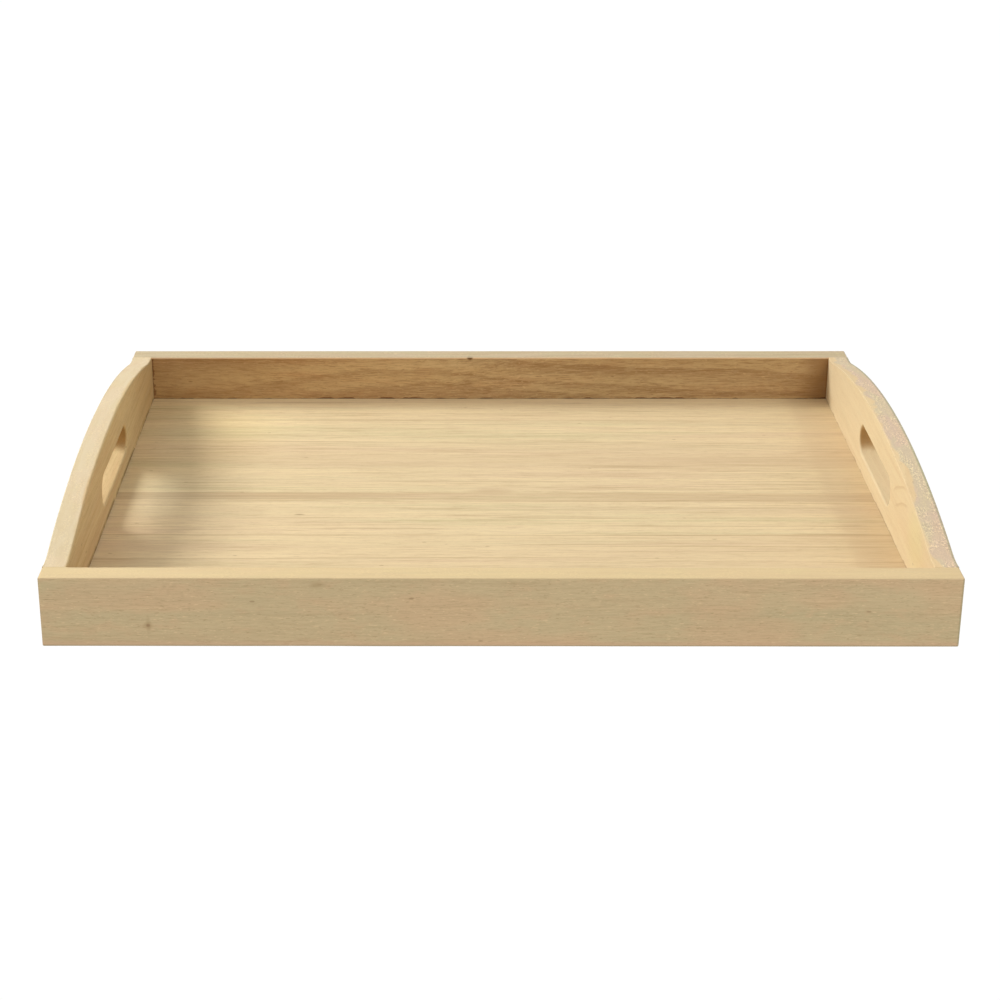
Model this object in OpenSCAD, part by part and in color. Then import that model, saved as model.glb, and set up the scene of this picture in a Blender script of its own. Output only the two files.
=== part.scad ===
// Serving tray in pale solid wood. Two long rails run the full length and cap two
// crowned end boards, each with an oblong hand hole. The base is a panel of
// edge-glued staves, held all round in a groove above the bottom edge. Two blind
// dowels close each corner, so no fastener shows.
// Millimetres, +Z up. The origin lies on the resting plane under the tray's middle.
// X runs along the rails, and Y runs from the front rail (-Y) to the back rail (+Y).

/* [Tray] */
// Overall length, along the rails
tray_len = 450; // [400:5:560]
// Overall depth, from the front rail's face to the back rail's
tray_depth = 340; // [310:5:400]

/* [Rails] */
// Height of the front and back rails
rail_h = 37; // [34:0.5:42]
// Thickness of the rails
rail_t = 13; // [12:0.5:16]

/* [End boards] */
// Thickness of the end boards
end_t = 12; // [12:0.5:16]
// Height of the crown at mid-depth
crown_h = 54.6; // [48:0.2:60]
// Level top edge between a rail and the foot of the crown
level_run = 5; // [3:0.5:12]
// Radius of the hollow that eases the crown into the level edge
blend_r = 45; // [20:5:80]

/* [Hand holes] */
// Length of the oblong hole
hole_len = 90; // [80:1:110]
// Height of the oblong hole, and so the width of its round ends
hole_h = 17; // [15:0.5:19]
// Height of the hole's centre above the resting plane
hole_z = 28; // [26:0.5:30]

/* [Base] */
// Thickness of the base panel
base_t = 6; // [5:0.5:6.5]
// Gap between the base panel and the resting plane
base_lift = 3.5; // [2:0.5:4]
// How far the panel's edge reaches into the groove
tongue = 4.5; // [3:0.5:5]
// Room left beyond the panel's edge for the wood to move
groove_room = 0.5; // [0.2:0.1:1]
// Width of a full stave
stave_w = 58; // [50:1:64]
// Offset of the middle seam from the tray's centre line
seam_shift = 2.5; // [-6:0.5:6]

/* [Dowels] */
// Diameter of the corner dowels
dowel_d = 6; // [5:0.5:6.5]
// Length of the corner dowels
dowel_len = 28; // [24:1:34]
// How far a dowel enters the rail
dowel_in_rail = 8; // [6:0.5:9]
// Difference between the hole's diameter and the dowel's
dowel_slip = 0.1; // [0.05:0.05:0.2]

/* [Hidden] */
$fn = 96;
// Overrun of a cut past the face that it leaves through
cut = 1;
// Inner faces of the frame
inner_x = tray_len / 2 - end_t;
inner_y = tray_depth / 2 - rail_t;
// Groove and panel
groove_depth = tongue + groove_room;
panel_x = inner_x + tongue;
panel_y = inner_y + tongue;
base_top = base_lift + base_t;
stave_count = 6;
// Crown: a long arc of radius crown_r meets a hollow arc of radius blend_r at (meet_y, meet_z)
crown_foot = inner_y - level_run;
crown_rise = crown_h - rail_h;
both_r = (crown_foot * crown_foot + crown_rise * crown_rise) / (2 * crown_rise);
crown_r = both_r - blend_r;
meet_y = crown_foot * crown_r / both_r;
meet_z = crown_h - crown_r + sqrt(crown_r * crown_r - meet_y * meet_y);
// The hollow cuts this much below the level edge, so that the arcs cross and never just touch
blend_bite = 0.05;
// Dowels: their distance from the centre plane, their heights and their shape
dowel_x = tray_len / 2 - end_t / 2;
dowel_edge = 3.5;
dowel_heights = [base_top + dowel_edge + dowel_d / 2, rail_h - 1.5 * dowel_edge - dowel_d / 2];
blind_room = 0.5;
dowel_chamfer = 0.8;
flute_count = 10;
flute_r = 0.45;

LEFT = -1;
RIGHT = 1;
FRONT = -1;
BACK = 1;
LOWER = 0;
UPPER = 1;
SIDES = [["left", LEFT], ["right", RIGHT]];
ENDS = [["front", FRONT], ["back", BACK]];
LEVELS = [["lower", LOWER], ["upper", UPPER]];

function stave_name(i) = str("base_stave_", i);
function dowel_name(end, side, level) = str(end[0], "_", side[0], "_", level[0], "_dowel");

// Y of the seam behind stave i, counted from the front; the outer two are the panel's edges
function seam_y(i) =
    i <= 0 ? -panel_y :
    i >= stave_count ? panel_y :
    seam_shift + (i - stave_count / 2) * stave_w;

// Lays children drawn for the front or the left on the other side when asked
module placed(axis, side) {
    if (side > 0) mirror(axis) children();
    else children();
}

// Blind hole along Y, from the joint face at inner_y away from the tray's middle (or towards it)
module dowel_hole(x, y, z, depth, towards) {
    translate([x, y - towards * cut, z])
        rotate([-90 * towards, 0, 0])
            cylinder(d = dowel_d + dowel_slip, h = depth + cut);
}

// A long rail with a stopped groove for the base and blind holes for the dowels
module rail(end) {
    placed([0, 1, 0], end)
        difference() {
            translate([-tray_len / 2, -tray_depth / 2, 0])
                cube([tray_len, rail_t, rail_h]);
            translate([-inner_x - groove_depth, -inner_y - groove_depth, base_lift])
                cube([2 * (inner_x + groove_depth), groove_depth + cut, base_t]);
            for (side = [LEFT, RIGHT], z = dowel_heights)
                dowel_hole(side * dowel_x, -inner_y, z, dowel_in_rail + blind_room, FRONT);
        }
}

// Outline of an end board: Y across the sketch, Z up it. The crown's long arc stands on
// the level body, and a hollow arc eases the corner between them at each foot.
module end_outline() {
    difference() {
        union() {
            translate([-inner_y, 0]) square([2 * inner_y, rail_h]);
            intersection() {
                translate([0, crown_h - crown_r]) circle(r = crown_r, $fn = 360);
                translate([-inner_y, 0]) square([2 * inner_y, crown_h + cut]);
            }
            polygon([
                [-meet_y, 0], [meet_y, 0], [crown_foot, rail_h],
                [meet_y, meet_z], [-meet_y, meet_z], [-crown_foot, rail_h],
            ]);
        }
        for (end = [FRONT, BACK])
            translate([end * crown_foot, rail_h + blend_r - blend_bite]) circle(r = blend_r);
        translate([0, hole_z]) hand_hole_outline();
    }
}

// Oblong with fully round ends
module hand_hole_outline() {
    straight = hole_len - hole_h;
    square([straight, hole_h], center = true);
    for (end = [FRONT, BACK])
        translate([end * straight / 2, 0]) circle(d = hole_h);
}

// A crowned end board with its hand hole, base groove and dowel holes in the end grain
module end_board(side) {
    placed([1, 0, 0], side)
        difference() {
            translate([-tray_len / 2, 0, 0])
                rotate([90, 0, 90])
                    linear_extrude(end_t)
                        end_outline();
            translate([-inner_x - groove_depth, -inner_y - cut, base_lift])
                cube([groove_depth + cut, 2 * (inner_y + cut), base_t]);
            for (end = [FRONT, BACK], z = dowel_heights)
                dowel_hole(-dowel_x, end * inner_y, z, dowel_len - dowel_in_rail + blind_room, -end);
        }
}

module front_rail() { color("#c9b288") rail(FRONT); }
module back_rail() { color("#b08c5c") rail(BACK); }
module left_end_board() { color("#dcc79c") end_board(LEFT); }
module right_end_board() { color("#e3cd9f") end_board(RIGHT); }

// One stave of the base panel, from seam i - 1 to seam i
module base_stave(i) {
    shade = ["#dfc797", "#e3cb9b", "#dac18f", "#e2ca9c", "#dec694", "#d9bf8e"][i - 1];
    color(shade)
        translate([-panel_x, seam_y(i - 1), base_lift])
            cube([2 * panel_x, seam_y(i) - seam_y(i - 1), base_t]);
}

// A fluted beech dowel with chamfered ends, standing on its end
module dowel_pin() {
    r = dowel_d / 2;
    c = dowel_chamfer;
    difference() {
        rotate_extrude()
            polygon([[0, 0], [r - c, 0], [r, c], [r, dowel_len - c], [r - c, dowel_len], [0, dowel_len]]);
        for (i = [0 : flute_count - 1])
            rotate([0, 0, i * 360 / flute_count])
                translate([r + flute_r / 2, 0, -cut])
                    cylinder(r = flute_r, h = dowel_len + 2 * cut, $fn = 24);
    }
}

// A dowel in its corner: it reaches from the end board into the rail
module corner_dowel(end, side, level) {
    color("#cfae7c")
        translate([side * dowel_x, end * (inner_y + dowel_in_rail - dowel_len), dowel_heights[level]])
            rotate([-90 * end, 0, 0])
                dowel_pin();
}

front_rail();
back_rail();
left_end_board();
right_end_board();
for (i = [1 : stave_count])
    base_stave(i);
for (end = ENDS, side = SIDES, level = LEVELS)
    corner_dowel(end[1], side[1], level[1]);
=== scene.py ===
"""Serving tray in pale solid wood: the looks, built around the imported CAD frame.

Metres, +Z up, X along the rails, the same frame as the CAD. Every size comes from the CAD
nodes' boxes, or is one of the named sizes below, which repeat the part's own dimensions.
"""

import math
from types import SimpleNamespace

import bmesh
import bpy
from mathutils import Matrix, Vector, noise


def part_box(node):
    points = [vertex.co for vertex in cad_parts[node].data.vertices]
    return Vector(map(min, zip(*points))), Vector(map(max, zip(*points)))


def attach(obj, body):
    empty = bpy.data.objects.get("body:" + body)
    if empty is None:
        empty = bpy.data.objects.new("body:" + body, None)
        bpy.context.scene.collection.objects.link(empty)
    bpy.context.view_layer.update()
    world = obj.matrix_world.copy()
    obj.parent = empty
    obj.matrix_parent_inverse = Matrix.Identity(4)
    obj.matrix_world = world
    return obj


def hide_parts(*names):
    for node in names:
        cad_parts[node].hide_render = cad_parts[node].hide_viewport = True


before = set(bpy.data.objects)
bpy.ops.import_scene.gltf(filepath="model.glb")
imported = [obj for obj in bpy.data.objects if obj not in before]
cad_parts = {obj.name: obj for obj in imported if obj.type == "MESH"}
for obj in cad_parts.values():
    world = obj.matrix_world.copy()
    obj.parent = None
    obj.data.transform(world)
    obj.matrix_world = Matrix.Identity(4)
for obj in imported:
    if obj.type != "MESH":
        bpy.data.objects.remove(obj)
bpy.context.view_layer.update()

MM = 0.001
LEFT, RIGHT, FRONT, BACK = -1, 1, -1, 1
SIDES = {"left": LEFT, "right": RIGHT}
ENDS = {"front": FRONT, "back": BACK}

# Sizes that the CAD boxes don't give, as in the part's own source: the level run before the
# crown, the hollow arc that leads up to it, the hand holes, the grooves, the dowels, the staves
LEVEL_RUN = 5 * MM
BLEND_R = 45 * MM
HOLE_LEN = 90 * MM
HOLE_H = 17 * MM
HOLE_Z = 28 * MM
GROOVE_DEPTH = 5 * MM
DOWEL_HEIGHTS = (16 * MM, 28.75 * MM)
DOWEL_HOLE_R = 3.05 * MM
DOWEL_IN_RAIL = 8.5 * MM
DOWEL_IN_END = 20.5 * MM
STAVE_COUNT = 6

# Roundings of the arrises, each drawn in EASE_STEPS steps. The right board's crown is crisper
# than the left one's. Roundings over WORN_FROM count as worn by hands
RAIL_EASE = 0.8 * MM
CROWN_EASES = {LEFT: 0.9 * MM, RIGHT: 0.45 * MM}
HOLE_EASE = 1.3 * MM
JOINT_EASE = 0.12 * MM
SEAM_EASE = 0.12 * MM
EASE_STEPS = 4
WORN_FROM = 0.3 * MM

# How far the base's face lies below the top of its grooves
FLOOR_GAP = 0.2 * MM

# Sizes read from the CAD frame
rail_low, rail_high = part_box("front_rail")
board_low, board_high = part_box("left_end_board")
stave_low, stave_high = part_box("base_stave_1")
HALF_LEN = rail_high.x
HALF_DEPTH = -rail_low.y
RAIL_H = rail_high.z
INNER_X = -board_high.x
INNER_Y = board_high.y
CROWN_H = board_high.z
FLOOR_LOW, FLOOR_TOP = stave_low.z, stave_high.z

# The crown: a long arc of radius CROWN_R meets a hollow arc of radius BLEND_R at MEET_Y
CROWN_FOOT = INNER_Y - LEVEL_RUN
CROWN_RISE = CROWN_H - RAIL_H
BOTH_R = (CROWN_FOOT ** 2 + CROWN_RISE ** 2) / (2 * CROWN_RISE)
CROWN_R = BOTH_R - BLEND_R
MEET_Y = CROWN_FOOT * CROWN_R / BOTH_R


# ---------------------------------------------------------------- mesh work

def new_piece(name, bm):
    """Makes an object of a bmesh."""
    mesh = bpy.data.meshes.new(name)
    bm.to_mesh(mesh)
    bm.free()
    piece = bpy.data.objects.new(name, mesh)
    bpy.context.scene.collection.objects.link(piece)
    return piece


def bridge(bm, ring, next_ring):
    """Joins two closed rings of vertices with quads."""
    for i, vert in enumerate(ring):
        j = (i + 1) % len(ring)
        bm.faces.new((vert, ring[j], next_ring[j], next_ring[i]))


def tidy(bm):
    """Merges the points that a rounding draws together, and turns every face outwards."""
    bmesh.ops.remove_doubles(bm, verts=bm.verts, dist=0.0005 * MM)
    bmesh.ops.dissolve_degenerate(bm, edges=bm.edges, dist=0.0005 * MM)
    bmesh.ops.recalc_face_normals(bm, faces=bm.faces)


def hand_sanded(ease, place, corner):
    """An easing radius that varies a little along an arris, as sandpaper leaves it."""
    return ease * (1 + 0.35 * noise.noise(Vector((place * 22, corner * 7.3, 1.7))))


def eased_stick(name, low, high, ease, stations, joint_side=0):
    """A straight stick along X with rounded arrises: rings of points from one end to the other.

    joint_side is the side in Y where end boards meet the stick, with hardly any rounding."""
    bm = bmesh.new()
    wear = bm.verts.layers.float.new("wear")
    centre = (low + high) / 2
    half = (high - low) / 2
    quarter = [i * math.pi / 2 / EASE_STEPS for i in range(EASE_STEPS + 1)]
    places = [(low.x + ease * (1 - math.cos(a)), ease * (1 - math.sin(a))) for a in quarter]
    spans = [low.x + ease + (half.x - ease) * 2 * i / stations for i in range(1, stations)]
    if joint_side:
        spans += [side * (INNER_X + step) for side in SIDES.values() for step in (0.3 * MM, -MM)]
        spans.sort()
    places += [(x, 0) for x in spans]
    places += [(low.x + high.x - x, inset) for x, inset in reversed(places[:EASE_STEPS + 1])]
    rings = []
    for x, inset in places:
        ring = []
        for corner, (side, level) in enumerate(((1, 1), (-1, 1), (-1, -1), (1, -1))):
            at_joint = side == joint_side and abs(x) > INNER_X and inset == 0
            radius = JOINT_EASE if at_joint else hand_sanded(ease, x, corner)
            rounding = max(radius - inset, 0)
            middle_y = centre.y + side * (half.y - inset - rounding)
            middle_z = centre.z + level * (half.z - inset - rounding)
            turn = corner * math.pi / 2
            for step, a in enumerate(quarter):
                y = middle_y + rounding * math.cos(turn + a)
                z = middle_z + rounding * math.sin(turn + a)
                vert = bm.verts.new((x, y, z))
                rounded = 0 < step < EASE_STEPS or inset > 0
                vert[wear] = 1.0 if rounded and radius > WORN_FROM else 0.0
                ring.append(vert)
        rings.append(ring)
    for ring, next_ring in zip(rings, rings[1:]):
        bridge(bm, ring, next_ring)
    bm.faces.new(rings[0])
    bm.faces.new(rings[-1])
    tidy(bm)
    return new_piece(name, bm)


def crown_top(y):
    """Height of an end board's top edge at y."""
    far = abs(y)
    if far >= CROWN_FOOT:
        return RAIL_H
    if far <= MEET_Y:
        return CROWN_H - CROWN_R + math.sqrt(CROWN_R ** 2 - y * y)
    return RAIL_H + BLEND_R - math.sqrt(BLEND_R ** 2 - (far - CROWN_FOOT) ** 2)


def hole_half_height(y):
    """Half the hand hole's height at y."""
    past = max(abs(y) - (HOLE_LEN - HOLE_H) / 2, 0)
    return math.sqrt(max((HOLE_H / 2) ** 2 - past ** 2, 0))


def board_columns():
    """Where along an end board its outline and its hand hole have points, front to back."""
    round_start = (HOLE_LEN - HOLE_H) / 2
    half = [round_start * i / 8 for i in range(8)]
    half += [round_start + HOLE_H / 2 * math.sin(i * math.pi / 24) for i in range(13)]
    hole_end = HOLE_LEN / 2
    half += [hole_end + (MEET_Y - hole_end) * i / 32 for i in range(1, 33)]
    half += [MEET_Y + (CROWN_FOOT - MEET_Y) * i / 10 for i in range(1, 11)]
    half.append(INNER_Y)
    return [-y for y in reversed(half[1:])] + half


def inward(points):
    """For each point of a closed counter-clockwise outline, the mitred direction into the shape."""
    found = []
    for i, point in enumerate(points):
        before = (point - points[i - 1]).normalized()
        after = (points[(i + 1) % len(points)] - point).normalized()
        normal_a = Vector((-before.y, before.x))
        normal_b = Vector((-after.y, after.x))
        middle = (normal_a + normal_b).normalized()
        found.append(middle / max(middle.dot(normal_a), 0.5))
    return found


def eased_outline(bm, points, ease, x_outer, x_inner, wear):
    """Rings of one outline from the outer face to the inner face, eased at both."""
    directions = inward(points)
    way = 1 if x_inner > x_outer else -1
    rings = []
    for face_x, inwards in ((x_outer, way), (x_inner, -way)):
        steps = range(EASE_STEPS + 1)
        for k in steps if face_x == x_outer else reversed(steps):
            a = k * math.pi / 2 / EASE_STEPS
            ring = []
            for i, point in enumerate(points):
                e = ease(point, i)
                at = point + directions[i] * e * (1 - math.sin(a))
                vert = bm.verts.new((face_x + inwards * e * (1 - math.cos(a)), at.x, at.y))
                vert[wear] = 1.0 if 0 < k < EASE_STEPS and e > WORN_FROM else 0.0
                ring.append(vert)
            rings.append(ring)
    for ring, next_ring in zip(rings, rings[1:]):
        bridge(bm, ring, next_ring)
    return rings[0], rings[-1]


def board_face(bm, outline, hole, columns):
    """Fills one flat face of an end board, column by column, and leaves the hand hole open."""
    count = len(columns)
    first = next(i for i, y in enumerate(columns) if abs(y) <= HOLE_LEN / 2 + 0.001 * MM)
    last = count - 1 - first
    span = last - first
    bottom = outline[:count]
    top = list(reversed(outline[count:]))
    under = [hole[0]] + list(reversed(hole[span + 1:])) + [hole[span]]
    over = hole[:span + 1]
    for i in range(count - 1):
        if first <= i < last:
            j = i - first
            lower, upper = (under[j], under[j + 1]), (over[j], over[j + 1])
            bm.faces.new((bottom[i], bottom[i + 1], lower[1], lower[0]))
            bm.faces.new((upper[0], upper[1], top[i + 1], top[i]))
        else:
            corners = [bottom[i], bottom[i + 1], top[i + 1], top[i]]
            if i + 1 == first:
                corners.insert(2, under[0])
            if i == last:
                corners.append(under[-1])
            bm.faces.new(corners)


def end_board_mesh(name, side):
    """A crowned end board with eased arrises and a rounded hand hole."""
    bm = bmesh.new()
    wear = bm.verts.layers.float.new("wear")
    columns = board_columns()
    outline = [Vector((y, 0)) for y in columns]
    outline += [Vector((y, crown_top(y))) for y in reversed(columns)]
    inside = [y for y in columns if abs(y) <= HOLE_LEN / 2 + 0.001 * MM]
    hole = [Vector((y, HOLE_Z + hole_half_height(y))) for y in inside]
    hole += [Vector((y, HOLE_Z - hole_half_height(y))) for y in reversed(inside[1:-1])]

    def outline_ease(point, i):
        at_joint = INNER_Y - abs(point.x) < LEVEL_RUN / 2
        return JOINT_EASE if at_joint else hand_sanded(CROWN_EASES[side], point.x, side + point.y)

    def hole_ease(point, i):
        return hand_sanded(HOLE_EASE, point.x, side * 3 + point.y)

    x_outer, x_inner = side * HALF_LEN, side * INNER_X
    outer_ring, inner_ring = eased_outline(bm, outline, outline_ease, x_outer, x_inner, wear)
    outer_hole, inner_hole = eased_outline(bm, hole, hole_ease, x_outer, x_inner, wear)
    board_face(bm, outer_ring, outer_hole, columns)
    board_face(bm, inner_ring, inner_hole, columns)
    tidy(bm)
    return new_piece(name, bm)


def add_box(bm, low, high):
    """A cutter's box between two corners."""
    middle = (Vector(low) + Vector(high)) / 2
    size = Vector(high) - Vector(low)
    bmesh.ops.create_cube(bm, size=1, matrix=Matrix.Translation(middle) @ Matrix.Diagonal((*size, 1)))


def add_bore(bm, x, z, y_from, y_to):
    """A cutter's cylinder along Y."""
    turn = Matrix.Rotation(math.pi / 2, 4, "X")
    place = Matrix.Translation((x, (y_from + y_to) / 2, z))
    bmesh.ops.create_cone(
        bm, cap_ends=True, segments=32, radius1=DOWEL_HOLE_R, radius2=DOWEL_HOLE_R,
        depth=abs(y_to - y_from), matrix=place @ turn)


def cut(piece, cutter_bm):
    """Takes the cutter's shapes out of the piece, and leaves the piece with its final mesh."""
    cutter = new_piece(piece.name + "_cutter", cutter_bm)
    boolean = piece.modifiers.new("cut", "BOOLEAN")
    boolean.operation = "DIFFERENCE"
    boolean.solver = "EXACT"
    boolean.object = cutter
    bake_modifiers(piece)
    bpy.data.objects.remove(cutter)


def bake_modifiers(piece):
    """Replaces a piece's mesh with the one that its modifiers give."""
    evaluated = piece.evaluated_get(bpy.context.evaluated_depsgraph_get())
    mesh = bpy.data.meshes.new_from_object(evaluated)
    piece.modifiers.clear()
    old, piece.data = piece.data, mesh
    bpy.data.meshes.remove(old)
    mesh.name = piece.name


def shade(piece):
    """Smooth roundings beside flat faces."""
    piece.data.shade_smooth()
    piece.data.set_sharp_from_angle(angle=math.radians(38))
    weighted = piece.modifiers.new("weighted", "WEIGHTED_NORMAL")
    weighted.keep_sharp = True
    weighted.weight = 100


def rail_piece(end_name):
    """A long rail: an eased stick with the stopped groove and the dowel holes."""
    end = ENDS[end_name]
    low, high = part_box(end_name + "_rail")
    rail = eased_stick(end_name + "_rail_board", low, high, RAIL_EASE, stations=60, joint_side=-end)
    cutter = bmesh.new()
    inner, overrun = end * INNER_Y, end * MM
    reach = INNER_X + GROOVE_DEPTH
    groove_y = sorted((inner + end * GROOVE_DEPTH, inner - overrun))
    add_box(cutter, (-reach, groove_y[0], FLOOR_LOW), (reach, groove_y[1], FLOOR_TOP))
    for side in SIDES.values():
        for z in DOWEL_HEIGHTS:
            dowel_x = side * (HALF_LEN + INNER_X) / 2
            add_bore(cutter, dowel_x, z, inner - overrun, inner + end * DOWEL_IN_RAIL)
    cut(rail, cutter)
    shade(rail)
    return rail


def end_board_piece(side_name):
    """An end board with the base groove and the dowel holes in its end grain."""
    side = SIDES[side_name]
    board = end_board_mesh(side_name + "_crowned_board", side)
    cutter = bmesh.new()
    overrun = INNER_Y + MM
    groove_x = sorted((side * (INNER_X + GROOVE_DEPTH), side * (INNER_X - MM)))
    add_box(cutter, (groove_x[0], -overrun, FLOOR_LOW), (groove_x[1], overrun, FLOOR_TOP))
    for end in ENDS.values():
        for z in DOWEL_HEIGHTS:
            dowel_x = side * (HALF_LEN + INNER_X) / 2
            add_bore(cutter, dowel_x, z, end * overrun, end * (INNER_Y - DOWEL_IN_END))
    cut(board, cutter)
    shade(board)
    return board


def stave_piece(number):
    """A stave of the base, its seams eased to hairlines, its face a hair below the grooves."""
    low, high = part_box(f"base_stave_{number}")
    high.z -= FLOOR_GAP
    stave = eased_stick(f"base_stave_{number}_board", low, high, SEAM_EASE, stations=40)
    shade(stave)
    return stave


# ---------------------------------------------------------------- materials

def tone(*screen):
    """A colour given as it shows on a screen, 0 to 255, as the shader wants it."""
    parts = [c / 255 for c in screen]
    return (*(c / 12.92 if c <= 0.04 else ((c + 0.055) / 1.055) ** 2.4 for c in parts), 1)


def gained(colour, red, green, blue):
    """A fixed colour with its three parts multiplied."""
    return (colour[0] * red, colour[1] * green, colour[2] * blue, 1)


class Graph:
    """One material's node tree. Each method adds a node and returns the socket that it feeds on."""

    def __init__(self, name):
        self.material = bpy.data.materials.new(name)
        self.material.use_nodes = True
        self.nodes = self.material.node_tree.nodes
        self.links = self.material.node_tree.links
        self.shader = self.nodes["Principled BSDF"]

    def feed(self, socket, value):
        """Links a socket to another one, or sets its value."""
        if isinstance(value, bpy.types.NodeSocket):
            self.links.new(value, socket)
        else:
            socket.default_value = value

    def node(self, kind, inputs, output=0, **settings):
        """Adds a shader node, feeds its inputs and returns one of its outputs."""
        made = self.nodes.new("ShaderNode" + kind)
        for name, value in settings.items():
            setattr(made, name, value)
        for key, value in inputs.items():
            self.feed(made.inputs[key], value)
        return made.outputs[output]

    def math(self, operation, *values):
        """One step of arithmetic, by Blender's name for it."""
        return self.node("Math", dict(enumerate(values)), operation=operation)

    def times(self, *values):
        """The product of two or more values."""
        product = values[0]
        for value in values[1:]:
            product = self.math("MULTIPLY", product, value)
        return product

    def stretch(self, vector, along, across, up=None):
        """Scales a place: along the grain, across it, and up."""
        scale = (along, across, across if up is None else up)
        return self.node("VectorMath", {0: vector, 1: scale}, operation="MULTIPLY")

    def noise(self, vector, detail=2.0, roughness=0.5):
        """Soft noise, about one wave to a unit of the vector."""
        inputs = {"Vector": vector, "Scale": 1.0, "Detail": detail, "Roughness": roughness}
        return self.node("TexNoise", inputs)

    def spread(self, value, low, high, to_low=0.0, to_high=1.0):
        """Maps low..high smoothly to to_low..to_high, and holds it there."""
        inputs = {0: value, 1: low, 2: high, 3: to_low, 4: to_high}
        return self.node("MapRange", inputs, interpolation_type="SMOOTHSTEP")

    def mix(self, factor, a, b, blend="MIX"):
        """Goes from colour a to colour b as factor goes from 0 to 1."""
        inputs = {0: factor, 6: a, 7: b}
        return self.node("Mix", inputs, output=2, data_type="RGBA", blend_type=blend)

    def tint(self, factor, colour, gain):
        """Multiplies a colour's three parts by gain, as far as factor says."""
        return self.mix(factor, colour, (*gain, 1), blend="MULTIPLY")

    def split(self, vector):
        """The three parts of a vector."""
        return tuple(self.node("SeparateXYZ", {0: vector}).node.outputs)


def grain_space(graph, grain, seed, sway):
    """A board's own place, with the grain along X, and the same place in its log.

    The grain wanders up to sway across the board, slowly along it."""
    place = graph.node("TexCoord", {}, output="Object")
    if grain == "Y":
        x, y, z = graph.split(place)
        place = graph.node("CombineXYZ", {0: y, 1: x, 2: z})
    shift = (seed * 1.37, seed * 0.53, seed * 0.71)
    log = graph.node("VectorMath", {0: place, 1: shift}, operation="ADD")
    slow = graph.noise(graph.stretch(log, 3.2, 9.0), detail=1.0)
    quick = graph.noise(graph.stretch(log, 11.0, 30.0), detail=1.0)
    wander = graph.times(graph.math("SUBTRACT", slow, 0.5), sway * 2)
    ripple = graph.times(graph.math("SUBTRACT", quick, 0.5), sway * 0.2)
    bend = graph.math("ADD", wander, ripple)
    offset = graph.node("CombineXYZ", {1: bend, 2: graph.times(bend, 0.6)})
    return place, graph.node("VectorMath", {0: log, 1: offset}, operation="ADD"), bend


def distance(graph, across, up):
    """How far a point is from a line along the grain, by its two offsets from it."""
    square = graph.math("ADD", graph.times(across, across), graph.times(up, up))
    return graph.math("SQRT", square)


def growth_rings(graph, place, bend, pith, step):
    """Dark late-wood lines: distance from the pith, in rings of uneven width."""
    x, y, z = graph.split(place)
    across = graph.math("ADD", graph.math("SUBTRACT", y, pith[0]), bend)
    up = graph.math("SUBTRACT", z, pith[1])
    turn = graph.math("DIVIDE", distance(graph, across, up), step)
    width = {"W": turn, "Scale": 0.43, "Detail": 1.0}
    uneven = graph.node("TexNoise", width, noise_dimensions="1D")
    turn = graph.math("ADD", turn, graph.times(uneven, 2.2))
    saw = graph.math("FRACT", turn)
    line = graph.times(graph.spread(saw, 0.25, 0.9), graph.spread(saw, 0.9, 1.0, 1.0, 0.0))
    depth = {"W": graph.math("FLOOR", turn), "Scale": 0.77, "Detail": 0.0}
    vary = graph.node("TexNoise", depth, noise_dimensions="1D")
    return graph.times(line, graph.spread(vary, 0.3, 0.7, 0.1, 1.0))


def speckle(graph, log, along, across, size, share):
    """Sparse small spots, drawn out along the grain: 1 at a spot's middle.

    share is how many of the cells have a spot."""
    cells = {"Vector": graph.stretch(log, along, across), "Scale": 1.0, "Randomness": 1.0}
    near = graph.node("TexVoronoi", cells)
    pick = graph.node("SeparateColor", {0: near.node.outputs["Color"]})
    chosen = graph.math("LESS_THAN", pick, share)
    return graph.times(graph.spread(near, size * 0.4, size, 1.0, 0.0), chosen)


def patch(graph, place, at, size, soft=0.5):
    """1 inside an ellipsoid at a place of the board, fading out over its outer part."""
    shifted = graph.node("VectorMath", {0: place, 1: at}, operation="SUBTRACT")
    scaled = graph.node("VectorMath", {0: shifted, 1: size}, operation="DIVIDE")
    reach = graph.node("VectorMath", {0: scaled}, output="Value", operation="LENGTH")
    return graph.spread(reach, 1 - soft, 1.0, 1.0, 0.0)


def grain_layers(graph, log, fine):
    """The noises a board is drawn with, broad ones first: waves to the metre along and across."""
    def drawn(along, across, detail, roughness=0.5):
        return graph.noise(graph.stretch(log, along, across), detail, roughness)

    return SimpleNamespace(
        cast=drawn(3.5, 26.0, 2.0),
        bands=drawn(4.0, 90.0, 4.0, 0.62),
        figures=drawn(15.0, 44.0, 2.0),
        gate=drawn(12.0, 110.0, 1.0),
        clouds=drawn(70.0, 160.0, 3.0, 0.6),
        hairs=drawn(14.0 * fine, 430.0 * fine, 5.0, 0.7),
        threads=drawn(8.0, 640.0, 2.0, 0.6),
        fibres=drawn(70.0 * fine, 1300.0 * fine, 3.0, 0.7),
        nicks=drawn(330.0, 1500.0, 1.0),
        pores=graph.spread(drawn(300.0, 3800.0, 1.0), 0.6, 0.78),
        specks=speckle(graph, log, 90.0, 220.0, 0.16, 0.08))


def ground_colour(graph, layers, tones, figure):
    """The broad tones of a board, before any line is drawn on it."""
    pale, late, warm, cool, pore = tones
    colour = graph.mix(graph.spread(layers.cast, 0.36, 0.64), warm, cool)
    colour = graph.mix(graph.spread(layers.bands, 0.34, 0.62, 0.05, 0.95), colour, pale)
    if figure:
        toned = graph.mix(graph.spread(layers.figures, 0.42, 0.58), warm, cool)
        colour = graph.mix(figure, colour, toned)
    return colour


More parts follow.
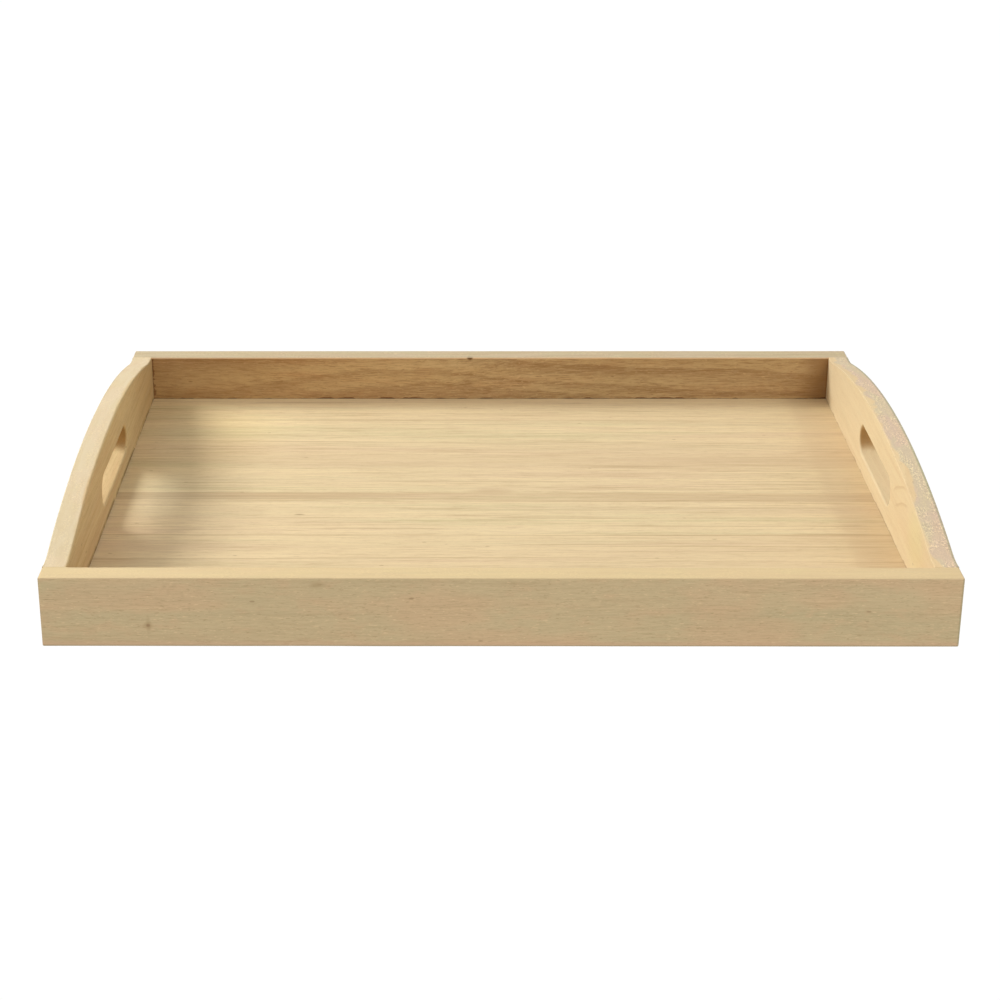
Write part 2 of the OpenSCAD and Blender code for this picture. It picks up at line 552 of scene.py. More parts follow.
def fine_lines(graph, layers, colour, tones, streaks, lines, ticks, mottle):
    """Hairlines, clouds, fibres, long thin lines and short dashes, both darker and lighter."""
    pale, late, warm, cool, pore = tones
    bright = gained(pale, 1.06, 1.07, 1.08)
    glint = gained(pale, 1.16, 1.18, 1.2)
    clear = graph.spread(layers.gate, 0.36, 0.64, 0.15, 1.0)
    dark_hairs = graph.spread(layers.hairs, 0.49, 0.66, 0.0, streaks)
    colour = graph.mix(graph.times(dark_hairs, clear), colour, late)
    light_hairs = graph.spread(layers.hairs, 0.34, 0.48, streaks, 0.0)
    colour = graph.mix(graph.times(light_hairs, clear), colour, bright)
    colour = graph.mix(graph.spread(layers.clouds, 0.48, 0.7, 0.0, mottle), colour, warm)
    colour = graph.mix(graph.spread(layers.fibres, 0.5, 0.66, 0.0, streaks), colour, late)
    colour = graph.mix(graph.spread(layers.fibres, 0.35, 0.48, streaks * 0.9, 0.0), colour, bright)
    if lines:
        dark_threads = graph.spread(layers.threads, 0.56, 0.66, 0.0, lines)
        colour = graph.mix(graph.times(dark_threads, clear), colour, late)
        colour = graph.mix(graph.spread(layers.threads, 0.33, 0.42, lines, 0.0), colour, bright)
    if ticks:
        colour = graph.mix(graph.spread(layers.nicks, 0.66, 0.74, 0.0, ticks), colour, late)
        colour = graph.mix(graph.spread(layers.nicks, 0.27, 0.35, ticks, 0.0), colour, glint)
    colour = graph.mix(graph.times(layers.pores, 0.3), colour, pore)
    return graph.mix(graph.times(layers.specks, 0.45), colour, pore)


def sanded_surface(graph, layers, ring_lines, wear, end_grain):
    """The gloss and the relief of sanded wood: rough end grain, polished arrises, open pores."""
    matt = graph.spread(layers.hairs, 0.3, 0.7, 0.56, 0.72)
    matt = graph.math("SUBTRACT", matt, graph.times(wear, 0.08))
    matt = graph.math("ADD", matt, graph.times(end_grain, 0.12))
    graph.feed(graph.shader.inputs["Roughness"], matt)
    graph.shader.inputs["Specular IOR Level"].default_value = 0.35

    relief = graph.math("ADD", graph.times(layers.fibres, 0.6), graph.times(layers.hairs, 0.4))
    relief = graph.math("SUBTRACT", relief, graph.times(layers.pores, 0.5))
    relief = graph.math("SUBTRACT", relief, graph.times(layers.specks, 0.8))
    relief = graph.math("ADD", relief, graph.times(ring_lines, 0.2))
    height = {"Height": relief, "Strength": 0.35, "Distance": 0.08 * MM}
    graph.feed(graph.shader.inputs["Normal"], graph.node("Bump", height, output="Normal"))


def wood(name, grain, seed, tones, pith, step=4 * MM, sway=4 * MM, rings=0.3, streaks=0.4,
         lines=0.0, ticks=0.0, figure=0.0, mottle=0.3, fine=1.0, end_dark=0.45, top=None,
         flecks=0.0, fray=0.0, joint=0.0, marks=None):
    """Planed, sanded and unfinished wood as a solid texture, so that faces and end grain agree.

    tones are the pale ground, the late wood, a warm cast, a cool cast and the pores. rings,
    streaks, lines, ticks, figure and mottle are how far growth rings, hairlines, long thin
    lines, short dashes, broad casts and soft clouds change the ground. fine is how closely the
    hairlines lie, and end_dark how far end grain darkens. top is the tone that upper edges lean
    to, with flecks in it and a border that frays by up to fray. joint is the strength of the
    dark line along the joints, and marks adds what only this board has."""
    pale, late, warm, cool, pore = tones
    graph = Graph(name)
    place, log, bend = grain_space(graph, grain, seed, sway)
    layers = grain_layers(graph, log, fine)
    ring_lines = growth_rings(graph, place, bend, pith, step)
    colour = ground_colour(graph, layers, tones, figure)
    colour = graph.mix(graph.times(ring_lines, rings), colour, late)
    colour = fine_lines(graph, layers, colour, tones, streaks, lines, ticks, mottle)
    if marks:
        colour = marks(graph, place, colour, tones)
    if top:
        colour = upper_edges(graph, place, log, colour, top, flecks, fray)
    if joint:
        colour = graph.mix(joint_line(graph, place, grain, joint), colour, pore)

    end_grain = end_grain_mask(graph, grain)
    colour = graph.mix(graph.times(end_grain, end_dark), colour, late, blend="MULTIPLY")
    wear = graph.node("Attribute", {}, output="Fac", attribute_name="wear")
    colour = graph.mix(graph.times(wear, 0.15), colour, gained(pale, 1.06, 1.07, 1.08))
    graph.feed(graph.shader.inputs["Base Color"], colour)
    sanded_surface(graph, layers, ring_lines, wear, end_grain)
    return graph.material


# How the tone of upper edges changes: olive and rosy patches, pale and dull flecks, the strip before
# the frayed border brightened as painted light, and the dusky line at the outer arris
EDGE_OLIVE = (0.95, 1.02, 0.93)
EDGE_ROSY = (0.99, 0.96, 0.96)
EDGE_PALE = (1.5, 1.56, 1.42)
EDGE_DULL = (0.82, 0.78, 0.74)
EDGE_PAINTED_LIGHT = (1.16, 1.06, 0.94)
EDGE_DUSKY = (0.5, 0.62, 0.58)

# The dusky line starts this far from a board's inner face and is full after RIM_SOFT
RIM_FROM = 10.4 * MM
RIM_SOFT = 0.8 * MM


def flecked(graph, log, toned, flecks):
    """Patches of two casts, and pale and dull flecks that lie in clusters."""
    broad = graph.noise(graph.stretch(log, 34.0, 70.0), detail=2.0)
    clusters = graph.noise(graph.stretch(log, 70.0, 160.0), detail=2.0)
    spots = graph.noise(graph.stretch(log, 800.0, 1300.0), detail=2.0, roughness=0.6)
    rosy, olive = graph.tint(1.0, toned, EDGE_ROSY), graph.tint(1.0, toned, EDGE_OLIVE)
    patches = graph.mix(graph.spread(broad, 0.44, 0.56), rosy, olive)
    toned = graph.mix(flecks, toned, patches)
    pale, dull = graph.tint(1.0, toned, EDGE_PALE), graph.tint(1.0, toned, EDGE_DULL)
    strewn = graph.times(graph.spread(clusters, 0.42, 0.56, 0.25, 1.0), flecks)
    toned = graph.mix(graph.times(graph.spread(spots, 0.5, 0.64), strewn), toned, pale)
    return graph.mix(graph.times(graph.spread(spots, 0.36, 0.48, 1.0, 0.0), strewn), toned, dull)


def upper_edges(graph, place, log, colour, top, flecks, fray):
    """The paler, speckled look of the upper edges, sawn across the fibres and sanded by hand.

    With fray, the border to the inner face is ragged, the strip before it is brightened as painted
    light, and the outer arris has a dusky line."""
    normal = graph.node("NewGeometry", {}, output="Normal")
    upward = graph.spread(graph.split(normal)[2], 0.4, 0.9)
    x, across, height = graph.split(place)
    high = graph.spread(height, RAIL_H - 3 * MM, RAIL_H - 2 * MM)
    shown = graph.times(upward, high)
    drawn = graph.noise(graph.stretch(log, 22.0, 300.0), detail=3.0, roughness=0.65)
    toned = graph.mix(graph.spread(drawn, 0.34, 0.66, 0.72, 1.0), colour, top)
    toned = flecked(graph, log, toned, flecks)
    if fray:
        border = graph.noise(graph.stretch(place, 26.0, 26.0), detail=3.0, roughness=0.6)
        from_face = graph.math("SUBTRACT", graph.math("ABSOLUTE", across), INNER_X)
        edge = graph.spread(border, 0.38, 0.62, -0.5 * MM, fray)
        # painted light: the upward strip by the inner face is brightened like the lit inner face
        colour = graph.tint(graph.times(shown, flecks), colour, EDGE_PAINTED_LIGHT)
        rim = graph.spread(from_face, RIM_FROM, RIM_FROM + RIM_SOFT, 0.0, flecks)
        toned = graph.tint(rim, toned, EDGE_DUSKY)
        past_edge = graph.math("SUBTRACT", from_face, edge)
        shown = graph.times(shown, graph.spread(past_edge, 0.0, 2 * MM))
    return graph.mix(shown, colour, toned)


def joint_line(graph, place, grain, strength):
    """A thin, broken dark line on the inner face, where the base and the next board meet it."""
    along_limit, face = (INNER_X, INNER_Y) if grain == "X" else (INNER_Y, INNER_X)
    along, across, height = (graph.math("ABSOLUTE", part) for part in graph.split(place))
    gaps = graph.noise(graph.stretch(place, 60.0, 60.0), detail=2.0, roughness=0.7)
    reach = graph.spread(gaps, 0.47, 0.62, 0.0, 0.9 * MM)
    from_base = graph.math("ABSOLUTE", graph.math("SUBTRACT", height, FLOOR_TOP))
    foot = graph.math("LESS_THAN", from_base, reach)
    corner = graph.math("GREATER_THAN", graph.math("ADD", along, reach), along_limit)
    below_top = graph.math("LESS_THAN", height, RAIL_H - 1.5 * MM)
    either = graph.math("MAXIMUM", foot, graph.times(corner, below_top, 0.4))
    on_face = graph.math("LESS_THAN", across, face + 0.3 * MM)
    return graph.times(either, on_face, strength)


def end_grain_mask(graph, grain):
    """1 where a face looks along the grain."""
    normal = graph.node("NewGeometry", {}, output="Normal")
    facing = graph.math("ABSOLUTE", graph.split(normal)[0 if grain == "X" else 1])
    return graph.spread(facing, 0.35, 1.0)


# Tones: pale ground, late wood, warm cast, cool cast, pores
FRONT_TONES = (tone(222, 196, 155), tone(178, 149, 110),
               tone(216, 184, 145), tone(205, 187, 147), tone(146, 110, 76))
BACK_TONES = (tone(207, 178, 131), tone(148, 111, 69),
              tone(194, 152, 107), tone(195, 165, 115), tone(104, 64, 28))
LEFT_TONES = (tone(220, 195, 144), tone(186, 156, 106),
              tone(212, 179, 131), tone(208, 187, 139), tone(126, 94, 58))
RIGHT_TONES = (tone(227, 207, 167), tone(205, 175, 132),
               tone(224, 200, 159), tone(221, 201, 161), tone(156, 120, 80))
FLOOR_TONES = (tone(233, 210, 166), tone(188, 158, 118),
               tone(224, 196, 157), tone(218, 201, 155), tone(158, 124, 88))
DOWEL_TONES = (tone(216, 184, 136), tone(184, 144, 96),
               tone(210, 174, 124), tone(206, 178, 130), tone(150, 108, 68))

# The tones that the upper edges lean to
FRONT_TOP = tone(226, 201, 154)
BACK_TOP = tone(204, 186, 154)
LEFT_TOP = tone(225, 205, 171)
RIGHT_TOP = tone(218, 194, 169)

# A tone that lies only on one face reaches this deep into the board
SKIN = 0.3 * MM
OUTER_SKIN = 0.5 * MM

# The front rail's outer face: a pin knot, a smudge, a warm painted bounce light low on the face, and
# the gain of the painted shade along its lower and right arrises
PIN_KNOT = (-172.3 * MM, -HALF_DEPTH, 11.5 * MM)
SMUDGE = (-89 * MM, -HALF_DEPTH, 33.5 * MM)
FRONT_BOUNCE_LIGHT = tone(222, 178, 148)
FRONT_ARRIS_SHADE = (0.68, 0.76, 0.74)

# Dark spots on it: the middle, the size along X, Y and Z, and the strength
FRONT_SPOTS = (
    (PIN_KNOT, (3.4 * MM, 6 * MM, 2.8 * MM), 0.6),
    (PIN_KNOT, (1.6 * MM, 6 * MM, 7 * MM), 0.35),
    (SMUDGE, (6 * MM, 6 * MM, 2 * MM), 0.55),
)
KNOT_HEART = (1.3 * MM, 6 * MM, 1 * MM)


def front_marks(graph, place, colour, tones):
    """A pin knot, a smudge, a warm painted bounce light low on the outer face, and painted shade along
    its lower and right arrises.
    """
    late, pore = tones[1], tones[4]
    for at, size, strength in FRONT_SPOTS:
        spot = patch(graph, place, at, size, soft=0.9)
        colour = graph.mix(graph.times(spot, strength), colour, late)
    heart = patch(graph, place, PIN_KNOT, KNOT_HEART, soft=0.6)
    colour = graph.mix(graph.times(heart, 0.5), colour, pore)
    x, y, z = graph.split(place)
    outer = graph.math("LESS_THAN", y, -HALF_DEPTH + OUTER_SKIN)
    # painted light: a warm painted bounce low on the outer face
    painted_bounce = graph.spread(z, 1.2 * MM, 4 * MM, 0.4, 0.0)
    colour = graph.mix(graph.times(painted_bounce, outer), colour, FRONT_BOUNCE_LIGHT)
    # painted shade along the lower arris, where the rail stands on the table, and along the right
    # arris
    foot = graph.spread(z, 0.5 * MM, 1.3 * MM, 1.0, 0.0)
    right_arris_shade = graph.spread(x, HALF_LEN - 1.3 * MM, HALF_LEN - 0.5 * MM)
    arrises = graph.times(graph.math("MAXIMUM", foot, right_arris_shade), outer)
    return graph.tint(arrises, colour, FRONT_ARRIS_SHADE)


def front_rail_wood():
    """Pale and even, with wavy fibres that mottle the face."""
    return wood("front_rail_wood", "X", 3.0, FRONT_TONES, (0.30, -0.16), step=5 * MM,
                sway=4 * MM, rings=0.08, streaks=0.3, ticks=0.5, figure=0.6, mottle=0.5,
                fine=1.8, top=FRONT_TOP, flecks=0.12, marks=front_marks)


# The back rail: the gain that reddens its left half as painted warm shade of the left board, the
# painted highlight along its inner top arris, how high the squeezed-out glue stands in the left
# corner, and a nick in the arris
BACK_LEFT_SHADE_TINT = (1.03, 0.97, 0.88)
BACK_ARRIS_HIGHLIGHT = tone(250, 210, 168)
GLUE_TOP = 35.5 * MM
BACK_NICK = (-12.5 * MM, INNER_Y + 0.5 * MM, RAIL_H)
NICK_SIZE = (2.6 * MM, 3 * MM, 2.2 * MM)


def back_face_painted_shade(graph, x, inner, colour, late):
    """Painted shade on the inner face: a darker right end in the corner by the right board, a darker
    and redder left half in the left board's shadow, a little dusk between.
    """
    # painted shade: the right end in the corner by the right board, the left half in the left board's
    # shadow
    right_end = graph.spread(x, INNER_X - 26 * MM, INNER_X - 2 * MM, 0.0, 0.85)
    left_board_shade = graph.spread(x, -190 * MM, -40 * MM, 0.3, 0.0)
    right_half = graph.spread(x, 20 * MM, 90 * MM, 0.0, 0.18)
    dull = graph.math("MAXIMUM", graph.math("MAXIMUM", right_end, left_board_shade), right_half)
    return graph.mix(graph.times(dull, inner), colour, late)


def back_marks(graph, place, colour, tones):
    """The inner face's painted shade, a line of glue in its left corner, a painted highlight on the
    inner top arris, and a nick.
    """
    late, pore = tones[1], tones[4]
    x, y, z = graph.split(place)
    inner = graph.math("LESS_THAN", y, INNER_Y + SKIN)
    colour = back_face_painted_shade(graph, x, inner, colour, late)
    gaps = graph.noise(graph.stretch(place, 120.0, 120.0, 260.0), detail=2.0, roughness=0.7)
    reach = graph.spread(gaps, 0.42, 0.62, 0.2 * MM, 1.8 * MM)
    in_corner = graph.math("LESS_THAN", graph.math("ADD", x, INNER_X), reach)
    below = graph.math("LESS_THAN", z, GLUE_TOP)
    colour = graph.mix(graph.times(in_corner, inner, below, 0.6), colour, pore)
    # painted warm shade: the left half redder in the left board's shadow
    left_shade_share = graph.spread(x, -150 * MM, 30 * MM, 1.0, 0.0)
    colour = graph.tint(graph.times(left_shade_share, inner), colour, BACK_LEFT_SHADE_TINT)
    # painted highlight: a pale warm line along the inner top arris
    rim = graph.spread(z, RAIL_H - 1.1 * MM, RAIL_H - 0.5 * MM)
    on_arris = graph.math("LESS_THAN", y, INNER_Y + RAIL_EASE)
    colour = graph.mix(graph.times(rim, on_arris, 0.8), colour, BACK_ARRIS_HIGHLIGHT)
    nick = patch(graph, place, BACK_NICK, NICK_SIZE, soft=0.6)
    return graph.mix(nick, colour, pore)


def back_rail_wood():
    """Redder and darker, with a bold figure."""
    return wood("back_rail_wood", "X", 7.0, BACK_TONES, (0.30, -0.05), step=6 * MM,
                sway=20 * MM, rings=0.6, streaks=0.6, ticks=0.5, mottle=0.25, fine=1.3,
                top=BACK_TOP, flecks=0.3, joint=0.8, marks=back_marks)


# The end boards' grain runs along Y, so their places are given as Y, X and Z

# The left board's inner face gets painted shade, deeper and yellower towards the back corner
LEFT_CORNER_SHADE = (0.87, 0.8, 0.74)


def left_marks(graph, place, colour, tones):
    """Painted shade, deeper and yellower towards the back of the inner face, and a broken dark line at
    its foot.
    """
    y, x, z = graph.split(place)
    inner = graph.math("GREATER_THAN", x, -INNER_X - SKIN)
    # painted shade towards the back corner of the inner face
    back = graph.times(graph.spread(y, 40 * MM, 130 * MM), inner)
    colour = graph.tint(back, colour, LEFT_CORNER_SHADE)
    broken = graph.noise(graph.stretch(place, 45.0, 45.0), detail=3.0, roughness=0.6)
    foot = graph.spread(z, FLOOR_TOP + 1 * MM, FLOOR_TOP + 3.4 * MM, 0.7, 0.0)
    foot = graph.times(foot, inner, graph.spread(broken, 0.36, 0.54))
    return graph.mix(foot, colour, tones[4])


def left_end_wood():
    """Pale, with straight, quiet grain."""
    return wood("left_end_wood", "Y", 11.0, LEFT_TONES, (-0.30, -0.06), step=6 * MM,
                sway=6 * MM, rings=0.2, streaks=0.3, end_dark=0.9, top=LEFT_TOP, flecks=0.18,
                fray=0.5 * MM, joint=0.7, marks=left_marks)


# The right board's inner face: the tips of growth rings are arcs TIP_STEP apart round
# TIPS_ROUND (along Y, and height), seen near TIPS_SEEN. Further forward it is a little sunnier,
# and towards the back a little duller
TIPS_ROUND = (-100 * MM, -30 * MM)
TIP_STEP = 9 * MM
TIPS_SEEN = (-71 * MM, INNER_X, 38 * MM)
TIPS_SIZE = (21 * MM, 30 * MM, 12 * MM)
SUNNY_PATCH = (-112 * MM, INNER_X, 30 * MM)
SUNNY_SIZE = (26 * MM, 30 * MM, 24 * MM)
SUNNY = (0.98, 1.03, 0.95)
RIGHT_DULLER = (0.95, 0.95, 0.96)


def ring_tips(graph, place):
    """Two arcs where flat-sawn growth rings run out, by the front end of the hand hole."""
    y, x, z = graph.split(place)
    along = graph.math("SUBTRACT", y, TIPS_ROUND[0])
    up = graph.math("SUBTRACT", z, TIPS_ROUND[1])
    wobble = graph.noise(graph.stretch(place, 50.0, 50.0), detail=2.0)
    wobble = graph.times(graph.math("SUBTRACT", wobble, 0.5), 2.5 * MM)
    radius = graph.math("ADD", distance(graph, along, up), wobble)
    saw = graph.math("FRACT", graph.math("DIVIDE", radius, TIP_STEP))
    near = patch(graph, place, TIPS_SEEN, TIPS_SIZE, soft=0.35)
    return graph.times(graph.spread(saw, 0.66, 0.86), graph.spread(saw, 0.87, 0.95, 1.0, 0.0), near)


def right_marks(graph, place, colour, tones):
    """Ring tips by the hand hole, a duller back part and a sunny patch near the front."""
    colour = graph.mix(graph.times(ring_tips(graph, place), 0.6), colour, tones[1])
    back = graph.spread(graph.split(place)[0], 10 * MM, 120 * MM)
    colour = graph.tint(back, colour, RIGHT_DULLER)
    sunny = patch(graph, place, SUNNY_PATCH, SUNNY_SIZE, soft=0.8)
    return graph.tint(sunny, colour, SUNNY)


def right_end_wood():
    """The palest board, with a frayed and speckled upper edge."""
    return wood("right_end_wood", "Y", 17.0, RIGHT_TONES, (0.27, -0.03), step=7 * MM,
                sway=14 * MM, rings=0.25, streaks=0.14, mottle=0.2, end_dark=0.9,
                top=RIGHT_TOP, flecks=0.65, fray=4 * MM, joint=0.5, marks=right_marks)


# Streaks and lines that run through the base: the middle along Y and the half width, how soft
# the borders are, the strength, where along X it is strongest, and the slope across the base
FLOOR_STREAKS = (
    (-3.5 * MM, 6 * MM, 0.5 * MM, 0.5, 190 * MM, 0.0),
    (-2 * MM, 4.5 * MM, 0.5 * MM, 0.6, -200 * MM, 0.0),
    (-9.4 * MM, 0.6 * MM, 0.5 * MM, 0.45, 160 * MM, 0.0),
    (2.8 * MM, 0.7 * MM, 0.4 * MM, 0.8, -170 * MM, 0.0),
    (60 * MM, 20 * MM, 8 * MM, 0.16, 0.0, 0.0),
    (50 * MM, 10 * MM, 4 * MM, 0.3, 200 * MM, 0.0),
    (79.7 * MM, 0.7 * MM, 0.5 * MM, 0.7, -120 * MM, -0.025),
    (118.8 * MM, 0.6 * MM, 0.4 * MM, 0.5, -100 * MM, 0.0),
    (-55.8 * MM, 0.6 * MM, 0.4 * MM, 0.6, 200 * MM, 0.0),
    (-55.8 * MM, 0.6 * MM, 0.4 * MM, 0.5, -180 * MM, 0.0),
    (-112 * MM, 56 * MM, 0.7 * MM, 0.3, 230 * MM, 0.0),
    (-85 * MM, 0.6 * MM, 0.5 * MM, 0.5, -100 * MM, 0.012),
)

# Streaks at least this wide are softer in tone
WIDE_STREAK = 7 * MM

# Places on the base, each with its size: a cloudy knot, a nick, and painted shade in the back left
# corner, in the left board's shadow
KNOT_CLOUD = (-1 * MM, 6 * MM, FLOOR_TOP)
CLOUD_SIZE = (17 * MM, 7 * MM, 9 * MM)
FLOOR_NICK = (-108 * MM, -28 * MM, FLOOR_TOP)
FLOOR_NICK_SIZE = (4 * MM, 1.4 * MM, 9 * MM)
FLOOR_LEFT_SHADE_AT = (-195 * MM, 90 * MM, FLOOR_TOP)
FLOOR_LEFT_SHADE_SIZE = (80 * MM, 95 * MM, 95 * MM)
FLOOR_LEFT_SHADE_GAIN = (0.93, 0.91, 0.84)

# Paler patches: the middle, the size and the gain. The first is a painted pool of light, where light
# falls through the left hand hole onto the base
FLOOR_LIGHT_AND_PALE = (
    ((-191 * MM, -2 * MM, FLOOR_TOP), (24 * MM, 48 * MM, 48 * MM), (1.07, 1.12, 1.18)),
    ((-146 * MM, 112 * MM, FLOOR_TOP), (50 * MM, 30 * MM, 50 * MM), (1.1, 1.12, 1.1)),
)


def floor_streaks(graph, place, colour, late, dusk):
    """Darker streaks and fine lines, ragged along their borders."""
    x, y, z = graph.split(place)
    drift = graph.noise(graph.stretch(place, 6.0, 10.0), detail=2.0)
    drift = graph.times(graph.math("SUBTRACT", drift, 0.5), 1.6 * MM)
    streaky = graph.noise(graph.stretch(place, 7.0, 170.0), detail=3.0, roughness=0.6)
    ragged = graph.spread(streaky, 0.36, 0.6, 0.45, 1.0)
    for middle, half, soft, strength, heart, slope in FLOOR_STREAKS:
        at = graph.math("SUBTRACT", graph.math("ADD", y, drift), graph.times(x, slope))
        off = graph.math("ABSOLUTE", graph.math("SUBTRACT", at, middle))
        far = graph.math("ABSOLUTE", graph.math("SUBTRACT", x, heart))
        amount = graph.spread(off, half - soft, half + soft, strength, 0.0)
        fading = graph.spread(far, 40 * MM, 240 * MM, 1.0, 0.25)
        tint = late if half < WIDE_STREAK else dusk
        colour = graph.mix(graph.times(amount, ragged, fading), colour, tint)
    return colour


def floor_marks(graph, place, colour, tones):
    """Streaks, a cloudy knot, a nick, a paler patch, a painted pool of light under the left hand hole,
    painted shade in the back left corner, and a darker right edge.
    """
    late, warm, pore = tones[1], tones[2], tones[4]
    dusk = graph.mix(0.45, late, warm)
    colour = floor_streaks(graph, place, colour, late, dusk)
    cloud = patch(graph, place, KNOT_CLOUD, CLOUD_SIZE, soft=0.9)
    colour = graph.mix(graph.times(cloud, 0.6), colour, dusk)
    nick = patch(graph, place, FLOOR_NICK, FLOOR_NICK_SIZE, soft=0.8)
    colour = graph.mix(graph.times(nick, 0.6), colour, pore)
    # the first patch is a painted pool of light under the left hand hole
    for at, size, gain in FLOOR_LIGHT_AND_PALE:
        colour = graph.tint(patch(graph, place, at, size, soft=0.9), colour, gain)
    # painted shade in the back left corner, in the left board's shadow
    corner_shade = patch(graph, place, FLOOR_LEFT_SHADE_AT, FLOOR_LEFT_SHADE_SIZE, soft=0.6)
    colour = graph.tint(corner_shade, colour, FLOOR_LEFT_SHADE_GAIN)
    right_edge = graph.spread(graph.split(place)[0], 184 * MM, 192 * MM, 0.0, 0.3)
    return graph.mix(right_edge, colour, dusk)


def stave_wood(number):
    """One stave of the base. Each comes from its own log, and the marks run through them all."""
    pith = (0.08 * (-1) ** number, -0.09 - 0.01 * number)
    return wood(f"base_stave_{number}_wood", "X", 20.0 + 3.1 * number, FLOOR_TONES, pith,
                step=6 * MM, sway=2.5 * MM, rings=0.15, streaks=0.36, lines=0.55, mottle=0.3,
                marks=floor_marks)


def dowel_wood():
    """Plain and a little redder."""
    return wood("dowel_wood", "Y", 41.0, DOWEL_TONES, (0.05, -0.04), step=3 * MM)


# ---------------------------------------------------------------- the tray

def settle(piece, node, material):
    """Puts a finished piece in place of its CAD node."""
    piece.data.materials.clear()
    piece.data.materials.append(material)
    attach(piece, "root")
    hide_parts(node)


settle(rail_piece("front"), "front_rail", front_rail_wood())
settle(rail_piece("back"), "back_rail", back_rail_wood())
settle(end_board_piece("left"), "left_end_board", left_end_wood())
settle(end_board_piece("right"), "right_end_board", right_end_wood())
for number in range(1, STAVE_COUNT + 1):
    settle(stave_piece(number), f"base_stave_{number}", stave_wood(number))

turned_wood = dowel_wood()
for name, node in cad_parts.items():
    if name.endswith("_dowel"):
        node.data.materials.clear()
        node.data.materials.append(turned_wood)


# ---------------------------------------------------------------- stage, light and camera

# How white the table and the backdrop are, and how far the table lies below the tray
TABLE_GLOW = 1.02
TABLE_DROP = 0.5 * MM


def stage_floor():
    """A pale, shadowless studio table. Seen from below it lets the tray's underside show."""
    bm = bmesh.new()
    level = Matrix.Translation((0, 0, -TABLE_DROP))
    bmesh.ops.create_grid(bm, x_segments=1, y_segments=1, size=60, matrix=level)
    floor = new_piece("studio_table", bm)
    graph = Graph("studio_white")
    glow = graph.node("Emission", {"Color": (1, 1, 1, 1), "Strength": TABLE_GLOW})
    clear = graph.node("BsdfTransparent", {})
    below = graph.node("NewGeometry", {}, output="Backfacing")
    mixed = graph.node("MixShader", {0: below, 1: glow, 2: clear})
    graph.feed(graph.nodes["Material Output"].inputs["Surface"], mixed)
    floor.data.materials.append(graph.material)
    floor.visible_diffuse = False
    floor.visible_glossy = False
    floor.visible_transmission = False
    floor.visible_shadow = False


# The light of the room from above, the light that the table throws back, and their tint. The
# one turns into the other over HORIZON at both sides of the level
SKY = 0.25
TABLE_LIGHT = 0.83
ROOM_TINT = (1.0, 0.97, 0.89, 1)
HORIZON = 0.15


def studio_world():
    """Soft light from all round, a little stronger from the table than from above, on white."""
    world = bpy.data.worlds.new("studio")
    bpy.context.scene.world = world
    world.use_nodes = True
    tree = world.node_tree
    tree.nodes.clear()

    def add(kind, **values):
        made = tree.nodes.new("ShaderNode" + kind)
        for socket, value in values.items():
            made.inputs[socket.replace("_", " ")].default_value = value
        return made

    where, split, path = add("TexCoord"), add("SeparateXYZ"), add("LightPath")
    light = add("MapRange", From_Min=-HORIZON, From_Max=HORIZON, To_Min=TABLE_LIGHT, To_Max=SKY)
    strength, tint = add("Mix", B=TABLE_GLOW), add("Mix")
    tint.data_type = "RGBA"
    tint.inputs[6].default_value = ROOM_TINT
    tint.inputs[7].default_value = (1, 1, 1, 1)
    background, output = add("Background"), add("OutputWorld")
    for source, target in (
            (where.outputs["Generated"], split.inputs[0]),
            (split.outputs["Z"], light.inputs["Value"]),
            (light.outputs["Result"], strength.inputs["A"]),
            (path.outputs["Is Camera Ray"], strength.inputs["Factor"]),
            (path.outputs["Is Camera Ray"], tint.inputs["Factor"]),
            (strength.outputs["Result"], background.inputs["Strength"]),
            (tint.outputs[2], background.inputs["Color"]),
            (background.outputs["Background"], output.inputs["Surface"])):
        tree.links.new(source, target)


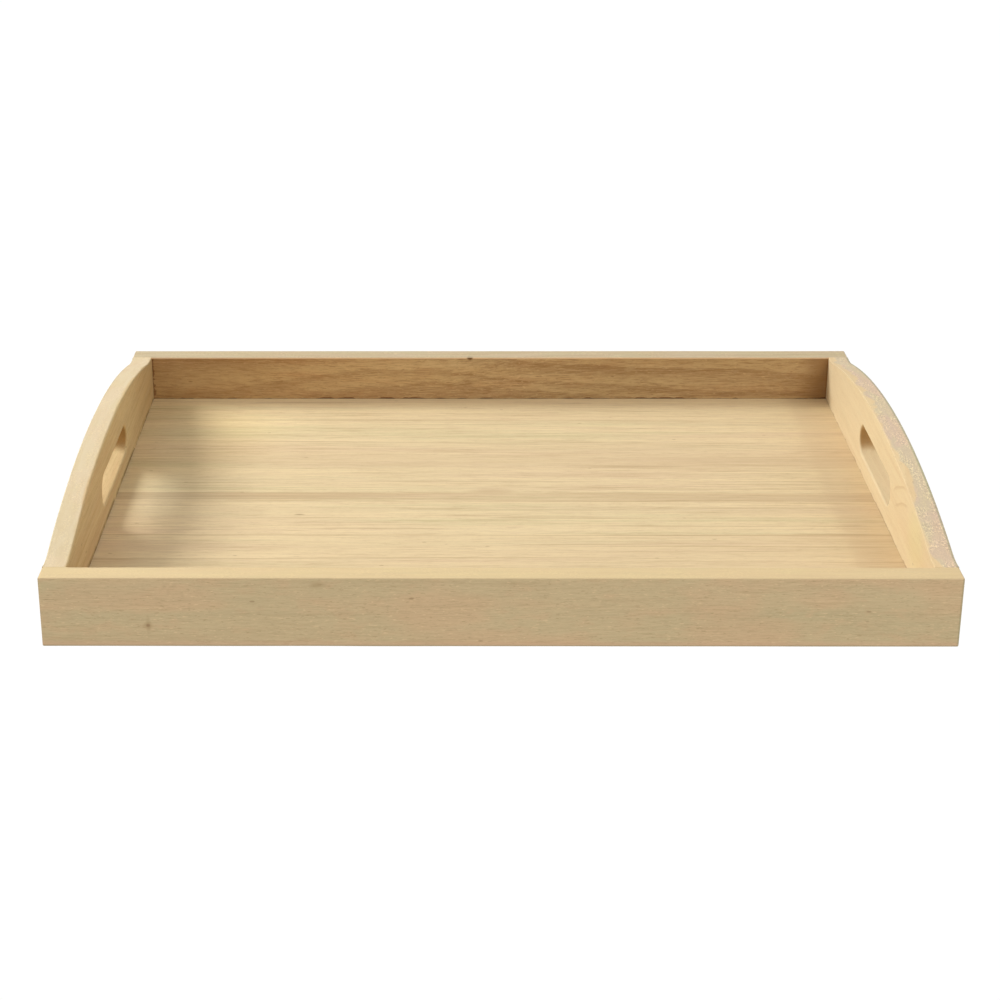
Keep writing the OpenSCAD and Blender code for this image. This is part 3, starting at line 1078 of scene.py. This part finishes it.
# Softboxes: where each stands, as an azimuth from behind the tray towards its left and an
# elevation, in degrees; its distance, width and height; and the light that it gives the tray
SOFTBOXES = {
    "key": (64, 32.4, 3.0, 1.0, 1.0, 0.78),
    "left_fill": (90, 45, 2.0, 1.4, 1.4, 0.06),
    "front_left_fill": (130, 40, 2.0, 1.4, 1.4, 0.18),
    "front_right_fill": (230, 40, 2.0, 1.4, 1.4, 0.375),
    "back_fill": (0, 40, 2.0, 1.6, 1.2, 0.125),
}


def softbox(name, azimuth, elevation, distance, width, height, level):
    """A rectangular lamp that faces the tray. level is the brightness of a white card turned to it."""
    around, above = math.radians(azimuth), math.radians(elevation)
    level_way = Vector((-math.sin(around), math.cos(around), 0))
    towards = level_way * math.cos(above) + Vector((0, 0, math.sin(above)))
    lamp = bpy.data.lights.new(name, "AREA")
    lamp.shape = "RECTANGLE"
    lamp.size, lamp.size_y = width, height
    lamp.energy = level * (math.pi * distance) ** 2
    made = bpy.data.objects.new(name, lamp)
    bpy.context.scene.collection.objects.link(made)
    made.location = towards * distance
    made.rotation_euler = towards.to_track_quat("Z", "Y").to_euler()


# The photograph's view: where the camera stands, how far it looks down, its turn and its roll,
# the focal length in millimetres and the lens shift
CAMERA_AT = Vector((-22.6, -1094.5, 470.4)) * MM
CAMERA_DOWN = math.radians(21.62)
CAMERA_YAW = math.radians(-0.47)
CAMERA_ROLL = math.radians(0.16)
CAMERA_LENS = 75.67
CAMERA_SHIFT = (0.0622, -0.050)


def camera():
    """A short telephoto in front of the tray, looking down on it."""
    data = bpy.data.cameras.new("camera")
    data.lens = CAMERA_LENS
    data.shift_x, data.shift_y = CAMERA_SHIFT
    made = bpy.data.objects.new("camera", data)
    bpy.context.scene.collection.objects.link(made)
    turn = Matrix.Rotation(-CAMERA_YAW, 4, "Z") @ Matrix.Rotation(math.pi / 2 - CAMERA_DOWN, 4, "X")
    made.matrix_world = Matrix.Translation(CAMERA_AT) @ turn @ Matrix.Rotation(-CAMERA_ROLL, 4, "Z")
    bpy.context.scene.camera = made


stage_floor()
studio_world()
for name, settings in SOFTBOXES.items():
    softbox(name, *settings)
camera()
bpy.context.scene.view_settings.view_transform = "Standard"
